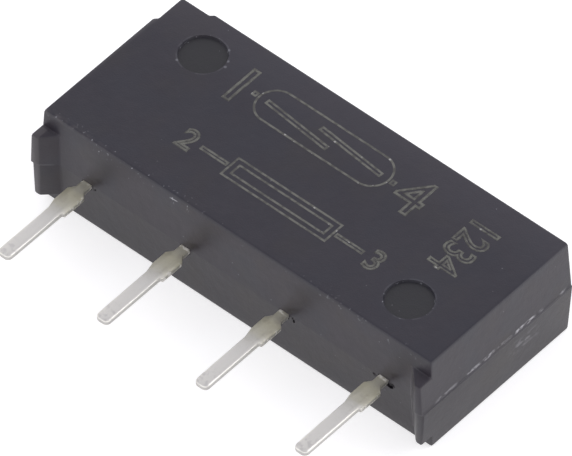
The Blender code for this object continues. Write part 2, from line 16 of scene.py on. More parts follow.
import bpy
from mathutils import Matrix, Vector

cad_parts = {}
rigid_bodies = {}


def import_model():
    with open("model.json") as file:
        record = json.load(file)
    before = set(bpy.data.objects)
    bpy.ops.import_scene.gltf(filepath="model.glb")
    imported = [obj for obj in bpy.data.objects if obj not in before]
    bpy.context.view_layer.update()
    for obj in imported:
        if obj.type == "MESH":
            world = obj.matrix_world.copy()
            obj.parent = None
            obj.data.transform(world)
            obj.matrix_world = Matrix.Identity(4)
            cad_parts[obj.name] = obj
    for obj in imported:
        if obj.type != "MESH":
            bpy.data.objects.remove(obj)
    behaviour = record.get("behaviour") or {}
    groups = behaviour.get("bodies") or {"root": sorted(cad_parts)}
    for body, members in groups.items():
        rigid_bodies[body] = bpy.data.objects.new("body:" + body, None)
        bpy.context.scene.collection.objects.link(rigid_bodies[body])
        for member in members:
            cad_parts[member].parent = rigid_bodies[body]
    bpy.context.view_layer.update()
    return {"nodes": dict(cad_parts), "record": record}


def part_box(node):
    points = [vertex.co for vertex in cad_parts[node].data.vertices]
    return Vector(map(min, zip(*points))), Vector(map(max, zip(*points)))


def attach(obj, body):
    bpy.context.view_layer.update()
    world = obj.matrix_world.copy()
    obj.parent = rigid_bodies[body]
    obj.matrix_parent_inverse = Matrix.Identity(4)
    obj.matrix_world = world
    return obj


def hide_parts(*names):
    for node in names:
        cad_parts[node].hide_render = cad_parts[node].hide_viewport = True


for startup_object in list(bpy.data.objects):
    bpy.data.objects.remove(startup_object, do_unlink=True)
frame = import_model()

logging.basicConfig(level=logging.INFO, format="%(message)s")
log = logging.getLogger("pcb_relay")

Colour = tuple[float, float, float]
Spot = tuple[float, float]
Span = tuple[float, float]
Strip = tuple[float, float, float]
Number = "float | Value"

MM = 0.001
PHOTO_WIDTH = 572
TERMINAL_PITCH = 5.08
PARTING_HEIGHT = 2.46
FRONT_FACE: Span = (0.90, 0.80)
SMOOTH_DEGREES = 32.0
MERGE_DISTANCE = 0.0002


class Side(Enum):
    """A side of a box: its axis, and whether it is the upper limit there."""

    LEFT = ("x", False)
    RIGHT = ("x", True)
    NEAR = ("y", False)
    FAR = ("y", True)
    FACE = ("z", True)


class Reading(Enum):
    """Which way a line of numbers runs on the marked face, in degrees about +Z."""

    ALONG_BODY = 0.0
    ACROSS_BODY = -90.0


@dataclass(frozen=True)
class Box:
    """A CAD node's box in millimetres."""

    low: Vector
    high: Vector

    @classmethod
    def of(cls, node: str) -> "Box":
        """The box at rest of the CAD node of that name."""
        low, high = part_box(node)
        return cls(low / MM, high / MM)

    def edge(self, side: Side, inward: float) -> float:
        """The coordinate of a place that lies so far in from one side of the box."""
        axis, upper = side.value
        return getattr(self.high, axis) - inward if upper else getattr(self.low, axis) + inward


class Value:
    """A number in a shader, whose arithmetic adds Math nodes."""

    def __init__(self, nodes: "Nodes", source: bpy.types.NodeSocket) -> None:
        """Wraps one output socket of a node."""
        self.nodes = nodes
        self.source = source

    def math(self, operation: str, *others: Number, clamp: bool = False) -> "Value":
        """Adds one Math node.

        Args:
            operation: Blender's name of the operation.
            others: The operands after this value.
            clamp: Whether the result is kept between 0 and 1.

        Returns:
            The node's result.
        """
        inputs = dict(enumerate((self, *others)))
        settings = {"operation": operation, "use_clamp": clamp}
        return self.nodes.value("ShaderNodeMath", settings, inputs)

    def __add__(self, other: Number) -> "Value":
        """This value plus another."""
        return self.math("ADD", other)

    def __radd__(self, other: float) -> "Value":
        """A number plus this value."""
        return self.math("ADD", other)

    def __sub__(self, other: Number) -> "Value":
        """This value less another."""
        return self.math("SUBTRACT", other)

    def __rsub__(self, other: float) -> "Value":
        """A number less this value."""
        return (self * -1.0) + other

    def __mul__(self, other: Number) -> "Value":
        """This value times another."""
        return self.math("MULTIPLY", other)

    def __rmul__(self, other: float) -> "Value":
        """A number times this value."""
        return self.math("MULTIPLY", other)

    def __abs__(self) -> "Value":
        """This value without its sign."""
        return self.math("ABSOLUTE")

    def sine(self) -> "Value":
        """The sine of this value."""
        return self.math("SINE")

    def root(self) -> "Value":
        """The square root of this value."""
        return self.math("SQRT")

    def lesser(self, other: Number) -> "Value":
        """The lesser of this value and another."""
        return self.math("MINIMUM", other)

    def greater(self, other: Number) -> "Value":
        """The greater of this value and another."""
        return self.math("MAXIMUM", other)

    def folded(self, pitch: float) -> "Value":
        """This place measured from the middle of its own step of a row with a border at 0."""
        return self.math("FLOORED_MODULO", pitch) - pitch / 2

    def capped(self) -> "Value":
        """This value kept between 0 and 1."""
        return self.math("ADD", 0.0, clamp=True)

    def ramp(self, start: float, end: float) -> "Value":
        """Rises smoothly from 0 to 1.

        Args:
            start: Where it leaves 0.
            end: Where it reaches 1. It may lie below start.

        Returns:
            The smooth step.
        """
        settings = {"interpolation_type": "SMOOTHSTEP", "clamp": True}
        stops = {"Value": self, "From Min": start, "From Max": end, "To Min": 0.0, "To Max": 1.0}
        return self.nodes.value("ShaderNodeMapRange", settings, stops)

    def band(self, start: float, end: float, blur: float) -> "Value":
        """1 between two limits and 0 outside them, with soft borders as wide as the blur."""
        rise = self.ramp(start - blur / 2, start + blur / 2)
        return rise * self.ramp(end + blur / 2, end - blur / 2)


class Nodes:
    """The nodes of one material or world."""

    def __init__(self, tree: bpy.types.NodeTree) -> None:
        """Takes over a node tree."""
        self.tree = tree

    def node(self, kind: str, settings: dict, inputs: dict) -> bpy.types.Node:
        """Adds a node.

        Args:
            kind: Blender's name of the node's type.
            settings: Its properties, which are set first.
            inputs: Its sockets by name or number, each with a value, a colour or a link.

        Returns:
            The node.
        """
        made = self.tree.nodes.new(kind)
        for key, setting in settings.items():
            setattr(made, key, setting)
        for key, given in inputs.items():
            self.feed(made.inputs[key], given)
        return made

    def feed(self, socket: bpy.types.NodeSocket, given: object) -> None:
        """Sets a socket, or links it where it is given a socket or a Value.

        Args:
            socket: The input socket.
            given: A number, a colour, a socket or a Value.
        """
        if isinstance(given, Value):
            given = given.source
        if isinstance(given, bpy.types.NodeSocket):
            self.tree.links.new(given, socket)
        else:
            socket.default_value = given

    def value(self, kind: str, settings: dict, inputs: dict, output: int | str = 0) -> Value:
        """Adds a node and wraps one of its outputs."""
        return Value(self, self.node(kind, settings, inputs).outputs[output])

    def mix(self, factor: Number, low: object, high: object) -> bpy.types.NodeSocket:
        """Mixes two colours.

        Args:
            factor: 0 for the first and 1 for the second.
            low: The first colour or its socket.
            high: The second colour or its socket.

        Returns:
            The socket of the mixed colour.
        """
        colours = [(*c, 1.0) if isinstance(c, tuple) else c for c in (low, high)]
        inputs = {0: factor, 6: colours[0], 7: colours[1]}
        return self.node("ShaderNodeMix", {"data_type": "RGBA"}, inputs).outputs[2]


@dataclass(frozen=True)
class Mottle:
    """A patchy mask, where soft noise rises between two levels."""

    scale: float
    detail: float
    seed: float
    levels: Span
    strength: float = 1.0
    stretch: tuple | None = None


class Graph(Nodes):
    """The nodes of one material, round its Principled shader."""

    def __init__(self, name: str, box: Box | None = None) -> None:
        """Starts a material of that name.

        Args:
            name: The material's name.
            box: The box whose sides its masks are measured from.
        """
        self.box = box
        self.material = bpy.data.materials.new(name)
        self.material.use_nodes = True
        super().__init__(self.material.node_tree)
        self.shader = self.tree.nodes["Principled BSDF"]
        where = self.node("ShaderNodeTexCoord", {}, {}).outputs["Object"]
        scale = {"Vector": where, "Scale": 1 / MM}
        scaled = self.node("ShaderNodeVectorMath", {"operation": "SCALE"}, scale)
        self.place = scaled.outputs["Vector"]
        split = self.node("ShaderNodeSeparateXYZ", {}, {"Vector": self.place})
        self.x, self.y, self.z = (Value(self, split.outputs[axis]) for axis in "XYZ")

    def noise(
        self, scale: float, detail: float = 2.0, seed: float = 0.0, stretch: tuple | None = None
    ) -> Value:
        """Soft noise between 0 and 1.

        Args:
            scale: Lumps to a millimetre.
            detail: How many finer layers it has.
            seed: A fourth coordinate, which gives another pattern.
            stretch: A factor for each axis, where the lumps aren't round.

        Returns:
            The noise.
        """
        place = self.place
        if stretch:
            factors = {0: place, 1: stretch}
            stretched = self.node("ShaderNodeVectorMath", {"operation": "MULTIPLY"}, factors)
            place = stretched.outputs["Vector"]
        inputs = {"Vector": place, "Scale": scale, "Detail": detail, "W": seed}
        return self.value("ShaderNodeTexNoise", {"noise_dimensions": "4D"}, inputs)

    def mottle(self, mottle: Mottle) -> Value:
        """The mask of a patchy pattern, from 0 to the pattern's strength."""
        noise = self.noise(mottle.scale, mottle.detail, mottle.seed, mottle.stretch)
        return noise.ramp(*mottle.levels) * mottle.strength

    def toward(self, side: Side, span: Span) -> Value:
        """Rises smoothly toward one side of the box, over a span measured in from it."""
        along = getattr(self, side.value[0])
        return along.ramp(*(self.box.edge(side, inward) for inward in span))

    def dots(self, scale: float, radius: float) -> Value:
        """Round specks, one in each cell of a scattered grid, of a radius in cells."""
        away = self.value("ShaderNodeTexVoronoi", {}, {"Vector": self.place, "Scale": scale})
        return away.ramp(radius, radius * 0.5)

    def away_from(self, spot: Spot) -> Value:
        """The distance, seen from above, from an upright line.

        Args:
            spot: Where the line stands, in X and Y.

        Returns:
            The distance in millimetres.
        """
        across = self.x - spot[0]
        along = self.y - spot[1]
        return (across * across + along * along).root()

    def bump(self, height: Value, depth: float) -> bpy.types.NodeSocket:
        """Turns a height into a normal, where a height of 1 stands for the depth."""
        inputs = {"Strength": 1.0, "Distance": depth * MM, "Height": height}
        return self.node("ShaderNodeBump", {}, inputs).outputs["Normal"]

    def finish(self, **inputs: object) -> bpy.types.Material:
        """Feeds the Principled shader.

        Args:
            inputs: Its sockets, with an underscore for each space in their names.

        Returns:
            The finished material.
        """
        for key, given in inputs.items():
            if isinstance(given, tuple) and len(given) == 3:
                given = (*given, 1.0)
            self.feed(self.shader.inputs[key.replace("_", " ")], given)
        return self.material


@dataclass(frozen=True)
class Specks:
    """Pale specks, thickest along the front face's upper edge and toward terminal 1."""

    front: Span = (1.15, 0.70)
    edge: Span = (0.595, 0.245)
    crowd: Strip = (-9.2, -2.0, 1.5)
    share_beyond: float = 0.25
    patches: Mottle = Mottle(1.1, 2.0, 4.0, (0.44, 0.56))
    flecks: Mottle = Mottle(6.5, 2.0, 14.0, (0.61, 0.69), 0.75)
    strays: Mottle = Mottle(2.0, 1.0, 6.0, (0.53, 0.57), 0.28)

    def mask(self, graph: Graph) -> Value:
        """Where the specks lie.

        Args:
            graph: The material's graph.

        Returns:
            Their mask.
        """
        front = graph.toward(Side.NEAR, self.front)
        edge = graph.toward(Side.FACE, self.edge)
        left = graph.x.band(*self.crowd) * (1.0 - self.share_beyond) + self.share_beyond
        flecks = graph.mottle(self.flecks) * graph.mottle(self.patches)
        strays = graph.dots(scale=1.9, radius=0.065) * graph.mottle(self.strays)
        return flecks * front * edge * left + strays


@dataclass(frozen=True)
class NeckShading:
    """Painted shadow in a streak beside each terminal's neck along the parting line, and painted
    light on the resin above it.
    """

    aside: float = 0.25
    # painted shadow: a dark streak to the right of each neck, along the parting line
    shadow_height: float = 0.22
    shadow_slope: float = 0.65
    shadow_width: Span = (0.26, 0.06)
    shadow_reach: Strip = (-0.05, 0.55, 0.3)
    shadow_patches: Mottle = Mottle(4.0, 2.0, 19.0, (0.30, 0.55))
    # painted light: paler resin above each neck
    light_height: float = 0.85
    light_slope: float = 0.3
    light_aside: float = 0.10
    light_width: Span = (0.75, 0.15)

    def masks(self, graph: Graph) -> tuple[Value, Value]:
        """Where the painted shadow and the painted light lie.

        Args:
            graph: The material's graph.

        Returns:
            The masks of the painted shadow and of the painted light.
        """
        across = graph.x.folded(TERMINAL_PITCH) - self.aside
        above = graph.z - PARTING_HEIGHT
        front = graph.toward(Side.NEAR, FRONT_FACE)
        # painted shadow beside the neck
        painted_shadow = abs(above - self.shadow_height - across * self.shadow_slope).ramp(*self.shadow_width)
        painted_shadow *= across.band(*self.shadow_reach) * graph.mottle(self.shadow_patches)
        # painted light above the neck
        pale = abs(above - self.light_height - across * self.light_slope).ramp(*self.light_width)
        pale *= abs(across - self.light_aside).ramp(*self.light_width)
        return painted_shadow * front, pale * front


@dataclass(frozen=True)
class WornAndLitEdges:
    """Paler resin along the marked face's edges, from rubbed wear and a painted highlight on the
    rounded edges, and a painted highlight on the first foot's outer corner.
    """

    # rubbed wear and painted highlight along the marked face's edges
    upper: Span = (0.20, 0.05)
    far: Span = (0.55, 0.12)
    far_wear_and_highlight: float = 0.2
    left: Span = (0.60, 0.10)
    left_wear_and_highlight: float = 0.6
    near: Span = (0.96, 0.80)
    near_along: Span = (-5.5, -9.0)
    near_wear_and_highlight: float = 1.9
    # painted highlight on the first foot's outer corner
    foot_end: Span = (0.46, 0.40)
    foot_seat: Span = (0.62, 0.55)
    foot_highlight: float = 2.0
    patches: Mottle = Mottle(2.8, 3.0, 17.0, (0.34, 0.66))

    def mask(self, graph: Graph) -> Value:
        """Where the edges are rubbed and where a highlight is painted on them.

        Args:
            graph: The material's graph.

        Returns:
            The mask of the wear and the painted highlights.
        """
        far = graph.toward(Side.FAR, self.far) * self.far_wear_and_highlight
        left = graph.toward(Side.LEFT, self.left) * self.left_wear_and_highlight
        near = graph.toward(Side.NEAR, self.near) * graph.x.ramp(*self.near_along)
        # painted highlight down the first foot's outer corner
        foot = graph.toward(Side.LEFT, self.foot_end)
        foot *= graph.toward(Side.NEAR, self.foot_seat) * self.foot_highlight
        broken = graph.mottle(self.patches) * graph.toward(Side.FACE, self.upper)
        return (far + left + near * self.near_wear_and_highlight) * broken + foot


@dataclass(frozen=True)
class Rub:
    """One stretch of the rubbed streak along the parting line of the +X end."""

    start: float
    end: float
    strength: float
    blur: float = 0.3


@dataclass(frozen=True)
class PartingScuffs:
    """Rubbed streaks along the parting line, brightest on the +X end, and a thin pale line of wear
    and painted highlight at the parting step near both ends.
    """

    right_end: Span = (0.20, 0.12)
    drift: float = 0.12
    line: Strip = (0.06, 0.21, 0.10)
    rubs: tuple = (
        Rub(-3.9, -2.7, 0.32),
        Rub(-2.05, -1.3, 0.60),
        Rub(-1.1, -0.5, 0.75),
        Rub(-0.3, 0.6, 0.28),
        Rub(0.8, 1.3, 1.00),
        Rub(1.45, 1.9, 0.90),
        Rub(2.25, 2.35, 0.80),
        Rub(3.45, 3.7, 0.45),
    )
    streaks: Mottle = Mottle(5.0, 3.0, 7.0, (0.36, 0.60), 1.25, (1.0, 1.0, 2.2))
    smear_along: Strip = (0.6, 2.1, 0.7)
    smear_level: Strip = (-1.0, -0.45, 0.5)
    smear: Mottle = Mottle(2.6, 3.0, 3.0, (0.46, 0.66), 0.26, (1.0, 1.0, 2.0))
    lip_level: Strip = (-0.03, 0.05, 0.04)
    lip_along: Span = (9.1, 9.3)
    # wear and painted highlight along the parting step
    lip_wear_and_highlight: float = 0.09

    def mask(self, graph: Graph) -> Value:
        """Where the resin is scuffed, and where the pale line of wear and painted highlight lies.

        Args:
            graph: The material's graph.

        Returns:
            The scuffs' mask.
        """
        level = graph.z - PARTING_HEIGHT
        drifting = level + (graph.noise(2.4, seed=11.0) - 0.5) * self.drift
        rubbed = (graph.y.band(rub.start, rub.end, rub.blur) * rub.strength for rub in self.rubs)
        streaks = sum(rubbed) * drifting.band(*self.line) * graph.mottle(self.streaks)
        smear = graph.y.band(*self.smear_along) * level.band(*self.smear_level)
        smear *= graph.mottle(self.smear)
        # wear and painted highlight at the parting step near both ends
        lip = level.band(*self.lip_level) * abs(graph.x).ramp(*self.lip_along) * self.lip_wear_and_highlight
        return graph.toward(Side.RIGHT, self.right_end) * (streaks + smear) + lip


@dataclass(frozen=True)
class Scratch:
    """One short bright scratch under the front face's upper edge."""

    middle: float = -3.19
    below_face: float = 0.27
    slope: float = 0.07
    wander: float = 0.05
    width: Span = (0.045, 0.005)
    along: Strip = (-0.16, 0.16, 0.18)
    strength: float = 0.9

    def mask(self, graph: Graph) -> Value:
        """Where the scratch runs.

        Args:
            graph: The material's graph.

        Returns:
            Its mask.
        """
        across = graph.x - self.middle
        down = graph.z - graph.box.edge(Side.FACE, self.below_face)
        wander = (graph.noise(6.0, seed=12.0) - 0.5) * self.wander
        line = abs(down - across * self.slope + wander).ramp(*self.width)
        front = graph.toward(Side.NEAR, FRONT_FACE)
        return line * across.band(*self.along) * front * self.strength


@dataclass(frozen=True)
class EjectorMarks:
    """The ejector pins' round marks, two on each wide face."""

    spot: Spot = (7.18, -2.16)
    radius: float = 1.01
    raggedness: float = 0.10
    floor: Span = (0.02, -0.10)
    depth: Span = (0.30, 0.20)
    halfway: Span = (-0.10, 0.10)
    rim: Strip = (-0.03, 0.06, 0.05)
    rim_flecks: Mottle = Mottle(4.5, 2.0, 5.0, (0.62, 0.70))
    rim_haze: Mottle = Mottle(2.0, 2.0, 16.0, (0.42, 0.60), 0.10)
    chips: tuple = ((-6.56, 2.98), (-6.20, 2.52), (-6.09, 2.23), (-7.75, 1.28))
    chip_size: Span = (0.09, 0.03)
    chip_strength: float = 0.42

    def masks(self, graph: Graph) -> tuple[Value, Value]:
        """Where the marks' smooth floors and their chipped rims lie.

        Args:
            graph: The material's graph.

        Returns:
            The mask of the floors, and that of the pale chips on the rims.
        """
        x, y = self.spot
        middle = (graph.box.high.z + graph.box.low.z) / 2
        above = graph.z - middle
        upper = above.ramp(*self.halfway)
        top = graph.away_from((x, y)).lesser(graph.away_from((-x, -y)))
        back = graph.away_from((x, -y)).lesser(graph.away_from((-x, y)))
        away = top * upper + back * (1.0 - upper) - self.radius
        ragged = away + (graph.noise(3.0, seed=2.0) - 0.5) * self.raggedness
        level = abs(above).ramp(*(middle - inward for inward in self.depth))
        rim = away.band(*self.rim) * (graph.mottle(self.rim_flecks) + graph.mottle(self.rim_haze))
        chips = sum(graph.away_from(chip).ramp(*self.chip_size) for chip in self.chips)
        rim += chips * upper * self.chip_strength
        return ragged.ramp(*self.floor) * level, rim.capped() * level


@dataclass(frozen=True)
class BlackMoulding:
    """Filled black epoxy, matt from the mould, with scuffs, specks, a dusty bloom, painted shade on
    its lower half and beside the necks, and painted light above the necks and along its edges.
    """

    box: Box
    resin: Colour = (0.0185, 0.0150, 0.0223)
    bloom: Colour = (0.0285, 0.0242, 0.0323)
    # dust on the marked face's far part, and painted light above the necks
    dust_and_light: Colour = (0.060, 0.056, 0.068)
    brown: Colour = (0.0330, 0.0270, 0.0215)
    blue: Colour = (0.0195, 0.0200, 0.0300)
    burnished: Colour = (0.0132, 0.0136, 0.0158)
    # painted shade colour, for the lower half and the streaks beside the necks
    shade_tone: Colour = (0.008, 0.005, 0.008)
    # paler colour for edge wear and the painted edge highlights
    worn: Colour = (0.075, 0.068, 0.074)
    scuff: Colour = (0.42, 0.42, 0.44)
    speck: Colour = (0.36, 0.37, 0.40)
    roughness: float = 0.40
    sheen: float = 0.47
    grain_depth: float = 0.006
    wave_depth: float = 0.012
    warm_patches: Mottle = Mottle(0.45, 2.0, 9.0, (0.50, 0.70), 0.40)
    cold_patches: Mottle = Mottle(0.55, 3.0, 15.0, (0.48, 0.66), 0.55)
    marked_face: Span = (0.28, 0.08)
    # painted light: a cooler tint on the marked face
    face_cool_light: float = 0.5
    dusted: Span = (3.38, -0.42)
    dusting: float = 0.32
    # painted shade: the lower half below the parting line is darkened
    lower_half: Span = (0.04, -0.04)
    lower_shade: float = 0.42
    # strengths of the painted shadow beside the necks and of the painted light above them
    neck_shadow: float = 0.8
    neck_light: float = 0.30
    # strength of the edge wear and the painted edge highlights
    edge_wear_and_highlight: float = 0.30
    burnish: float = 0.85
    rim_chipping: float = 0.6

    def material(self) -> bpy.types.Material:
        """Makes the material.

        Returns:
            The moulding's material.
        """
        graph = Graph("black_moulding", self.box)
        cloud = graph.noise(0.8, 3.0)
        grain = graph.noise(13.0, 3.0)
        floors, rims = EjectorMarks().masks(graph)
        scuffs = (PartingScuffs().mask(graph) + Scratch().mask(graph)).capped()
        specks = (Specks().mask(graph) + rims * self.rim_chipping).capped()
        lit_shaded_and_worn = self.lit_shaded_and_worn(graph, self.moulded(graph, cloud, grain))
        marked = graph.mix(floors * self.burnish, lit_shaded_and_worn, self.burnished)
        colour = graph.mix(scuffs, graph.mix(specks, marked, self.speck), self.scuff)
        uneven = (cloud - 0.5) * 0.10 + (grain - 0.5) * 0.12
        roughness = self.roughness + uneven + scuffs * 0.15 + floors * 0.06
        height = grain + graph.noise(2.2) * (self.wave_depth / self.grain_depth)
        normal = graph.bump(height + scuffs * 1.5, self.grain_depth)
        inputs = {"Base_Color": colour, "Roughness": roughness.capped(), "Normal": normal}
        return graph.finish(Specular_IOR_Level=self.sheen, **inputs)

    def moulded(self, graph: Graph, cloud: Value, grain: Value) -> bpy.types.NodeSocket:
        """The resin's own colour, cloudy all over, painted bluer on the marked face for the cooler
        light that it reflects, and dustier there toward the far edge.

        Args:
            graph: The material's graph.
            cloud: The broad soft noise.
            grain: The fine noise.

        Returns:
            The socket of the colour.
        """
        bloom = (cloud * 0.6 + grain * 0.5 + (graph.noise(3.2) - 0.5) * 0.35).ramp(0.35, 0.85)
        body = graph.mix(bloom, self.resin, self.bloom)
        warmed = graph.mix(graph.mottle(self.warm_patches), body, self.brown)
        tinted = graph.mix(graph.mottle(self.cold_patches), warmed, self.blue)
        upper = graph.toward(Side.FACE, self.marked_face)
        far = graph.toward(Side.FAR, self.dusted) * upper
        # painted cooler light on the marked face
        faced = graph.mix(upper * self.face_cool_light, tinted, self.blue)
        return graph.mix(far * self.dusting, faced, self.dust_and_light)

    def lit_shaded_and_worn(self, graph: Graph, moulded: bpy.types.NodeSocket) -> bpy.types.NodeSocket:
        """The resin's colour with painted shade on its lower half and beside the necks, painted
        light above the necks, and wear and painted highlights along its edges.

        Args:
            graph: The material's graph.
            moulded: The socket of the clean resin's colour.

        Returns:
            The socket of the colour.
        """
        # painted shadow beside each neck and painted light above it
        painted_shadow, pale = NeckShading().masks(graph)
        lower = (graph.z - PARTING_HEIGHT).ramp(*self.lower_half)
        # painted shade: darker on the lower half and in the streak beside each neck
        painted_shading = (lower * self.lower_shade + painted_shadow * self.neck_shadow).capped()
        # painted light above the necks, then the painted shade
        sided = graph.mix(painted_shading, graph.mix(pale * self.neck_light, moulded, self.dust_and_light), self.shade_tone)
        # edge wear and painted highlights
        return graph.mix(WornAndLitEdges().mask(graph) * self.edge_wear_and_highlight, sided, self.worn)


@dataclass(frozen=True)
class StainedTin:
    """Tin plate on a stamped lead frame, stained olive where it meets the moulding, with painted
    shade on its rounded margins and painted glints in the pale crust by the necks.
    """

    front: float
    box: Box
    clean: Colour = (0.80, 0.79, 0.735)
    stain: Colour = (0.68, 0.655, 0.480)
    # pale residue, with painted glints, by the necks
    residue_and_glint: Colour = (0.86, 0.85, 0.80)
    sheared: Colour = (0.46, 0.45, 0.435)
    grimy: Colour = (0.30, 0.29, 0.255)
    # painted shade: a darker colour on the rounded margins, which dims their reflection
    bright: Colour = (0.60, 0.592, 0.575)
    blot: Colour = (0.50, 0.465, 0.32)
    dull: Colour = (0.62, 0.61, 0.585)
    roughness: float = 0.27
    grain_depth: float = 0.004
    side_facing: Span = (0.32, 0.12)
    margin_facing: Strip = (0.42, 0.84, 0.10)
    blots: Mottle = Mottle(2.1, 2.0, 21.0, (0.48, 0.66), 0.6)
    stain_reach: float = 1.72
    stain_raggedness: float = 0.45
    firm_border: Span = (-0.10, 0.20)
    soft_border: Span = (-0.80, 1.25)
    firmness: float = 0.22
    neck: Span = (0.80, 0.40)
    neck_clean: float = 0.3
    flat_half: float = 0.16
    tip_rounding: float = 0.24
    pin: Span = (1.75, 2.05)
    coining: float = 170.0
    tip_wear: Span = (1.3, 0.4)
    tip_blotches: Mottle = Mottle(4.0, 3.0, 6.0, (0.45, 0.65))
    root: Span = (0.16, 0.06)
    shoulder: Strip = (0.55, 1.80, 0.3)
    shoulder_edge: Span = (0.32, 0.42)
    # strength of the residue and the painted glints
    crust_and_glint_strength: float = 0.7

    def material(self) -> bpy.types.Material:
        """Makes the material.

        Returns:
            The terminals' material.
        """
        graph = Graph("tinned_lead_frame", self.box)
        cloud = graph.noise(1.6, 3.0)
        grain = graph.noise(11.0, 3.0)
        stained = self.stained(graph, cloud)
        olive = graph.mix(graph.mottle(self.blots), self.stain, self.blot)
        tinned = graph.mix(stained, self.clean, olive)
        worn = graph.toward(Side.NEAR, self.tip_wear) * graph.mottle(self.tip_blotches)
        spotted = graph.mix(grain.ramp(0.58, 0.75) * 0.25, tinned, self.stain)
        dulled = graph.mix(worn * 0.75, spotted, self.dull)
        facing = self.facing(graph)
        sides = facing.ramp(*self.side_facing)
        # painted shade on the rounded margins
        rounded = facing.band(*self.margin_facing) * (1.0 - stained * 0.45)
        margin_shaded = graph.mix(rounded * 0.85, dulled, self.bright)
        shorn = graph.mix(stained, self.sheared, self.grimy)
        crust_and_glints = self.crust_and_glints(graph)
        colour = graph.mix(crust_and_glints, graph.mix(sides * 0.9, margin_shaded, shorn), self.residue_and_glint)
        uneven = (cloud - 0.5) * 0.12 + grain * 0.08 + sides * 0.12
        roughness = self.roughness + uneven + stained * 0.24 + worn * 0.12 + crust_and_glints * 0.20
        height = grain + graph.noise(3.0, 1.0, 3.0) * 2.0 + crust_and_glints * 3.0 - self.coined(graph)
        return graph.finish(
            Base_Color=colour,
            Metallic=(1.0 - stained * 0.35 - crust_and_glints * 0.45).capped(),
            Roughness=roughness.capped(),
            Normal=graph.bump(height, self.grain_depth),
        )

    def out(self, graph: Graph) -> Value:
        """How far a place stands out of the moulding's front."""
        return self.front - graph.y

    def facing(self, graph: Graph) -> Value:
        """How flat the strip lies: 1 on its flat faces and 0 on its stamped sides."""
        normal = graph.node("ShaderNodeNewGeometry", {}, {}).outputs["Normal"]
        return abs(graph.value("ShaderNodeSeparateXYZ", {}, {"Vector": normal}, "Z"))

    def stained(self, graph: Graph, cloud: Value) -> Value:
        """The stain, from a soft border by the sheared dam bar up to the moulding.

        Args:
            graph: The material's graph.
            cloud: The soft noise that it varies with.

        Returns:
            Its mask.
        """
        ragged = (graph.noise(3.5, 3.0, 1.0) - 0.5) * self.stain_raggedness
        border = self.stain_reach - self.out(graph) + ragged
        reach = border.ramp(*self.firm_border) * self.firmness
        reach += border.ramp(*self.soft_border) * (1.0 - self.firmness)
        neck = self.out(graph).ramp(*self.neck) * self.neck_clean
        return (reach * (0.62 + cloud * 0.5) * (1.0 - neck)).capped()

    def coined(self, graph: Graph) -> Value:
        """How far a pin's flat face falls away toward its coined margin and tip.

        Args:
            graph: The material's graph.

        Returns:
            The depth, in grain depths.
        """
        margin = (graph.x.folded(TERMINAL_PITCH) - self.flat_half).greater(0.0)
        tip = (self.box.edge(Side.NEAR, self.tip_rounding) - graph.y).greater(0.0)
        pin = self.out(graph).ramp(*self.pin)
        return (margin * margin + tip * tip * 0.6) * pin * self.coining

    def crust_and_glints(self, graph: Graph) -> Value:
        """Pale residue with painted glints round the neck's root and along the sheared edge of the
        shoulder.

        Args:
            graph: The material's graph.

        Returns:
            Its mask.
        """
        broken = graph.noise(6.0, 3.0, 4.0)
        # painted glint and residue at the neck's rim
        root = self.out(graph).ramp(*self.root) * broken.ramp(0.40, 0.60)
        edge = graph.x.folded(TERMINAL_PITCH).ramp(*self.shoulder_edge)
        sheared = edge * self.out(graph).band(*self.shoulder) * broken.ramp(0.50, 0.60)
        return ((root + sheared) * self.crust_and_glint_strength).capped()


@dataclass(frozen=True)
class DrawnAlloy:
    """Nickel-iron wire with fine drawing lines along its length."""

    alloy: Colour = (0.60, 0.575, 0.54)
    dull: Colour = (0.47, 0.45, 0.42)
    roughness: float = 0.24
    line_depth: float = 0.004

    def material(self) -> bpy.types.Material:
        """Makes the material.

        Returns:
            The reeds' material.
        """
        graph = Graph("nickel_iron")
        lines = graph.noise(6.0, stretch=(0.15, 4.0, 4.0))
        colour = graph.mix(lines.ramp(0.35, 0.70), self.alloy, self.dull)
        roughness = self.roughness + lines * 0.12
        normal = graph.bump(lines, self.line_depth)
        return graph.finish(Base_Color=colour, Metallic=1.0, Roughness=roughness, Normal=normal)


@dataclass(frozen=True)
class CapsuleGlass:
    """Green infrared-absorbing glass, a little deeper in colour at the seals."""

    seal_from: float
    seal_blur: float = 0.6
    clear: Colour = (0.55, 0.80, 0.62)
    deep: Colour = (0.30, 0.58, 0.40)

    def material(self) -> bpy.types.Material:
        """Makes the material.

        Returns:
            The capsule's material.
        """
        graph = Graph("capsule_glass")
        seal = abs(graph.x).ramp(self.seal_from - self.seal_blur, self.seal_from)
        streak = graph.noise(2.0, stretch=(0.4, 2.0, 2.0))
        colour = graph.mix((seal * 0.8 + streak * 0.2).capped(), self.clear, self.deep)
        return graph.finish(
            Base_Color=colour,
            Roughness=0.03 + streak * 0.04,
            Transmission_Weight=1.0,
            IOR=1.50,
        )


@dataclass(frozen=True)
class FormerPlastic:
    """The coil former's glass-filled plastic."""

    base: Colour = (0.040, 0.037, 0.031)
    fibre: Colour = (0.085, 0.080, 0.068)
    fibre_depth: float = 0.006

    def material(self) -> bpy.types.Material:
        """Makes the material.

        Returns:
            The bobbin's material.
        """
        graph = Graph("bobbin_plastic")
        fibres = graph.noise(9.0, 3.0, stretch=(0.5, 2.0, 2.0))
        colour = graph.mix(fibres.ramp(0.45, 0.75), self.base, self.fibre)
        normal = graph.bump(fibres, self.fibre_depth)
        return graph.finish(Base_Color=colour, Roughness=0.42 + fibres * 0.18, Normal=normal)


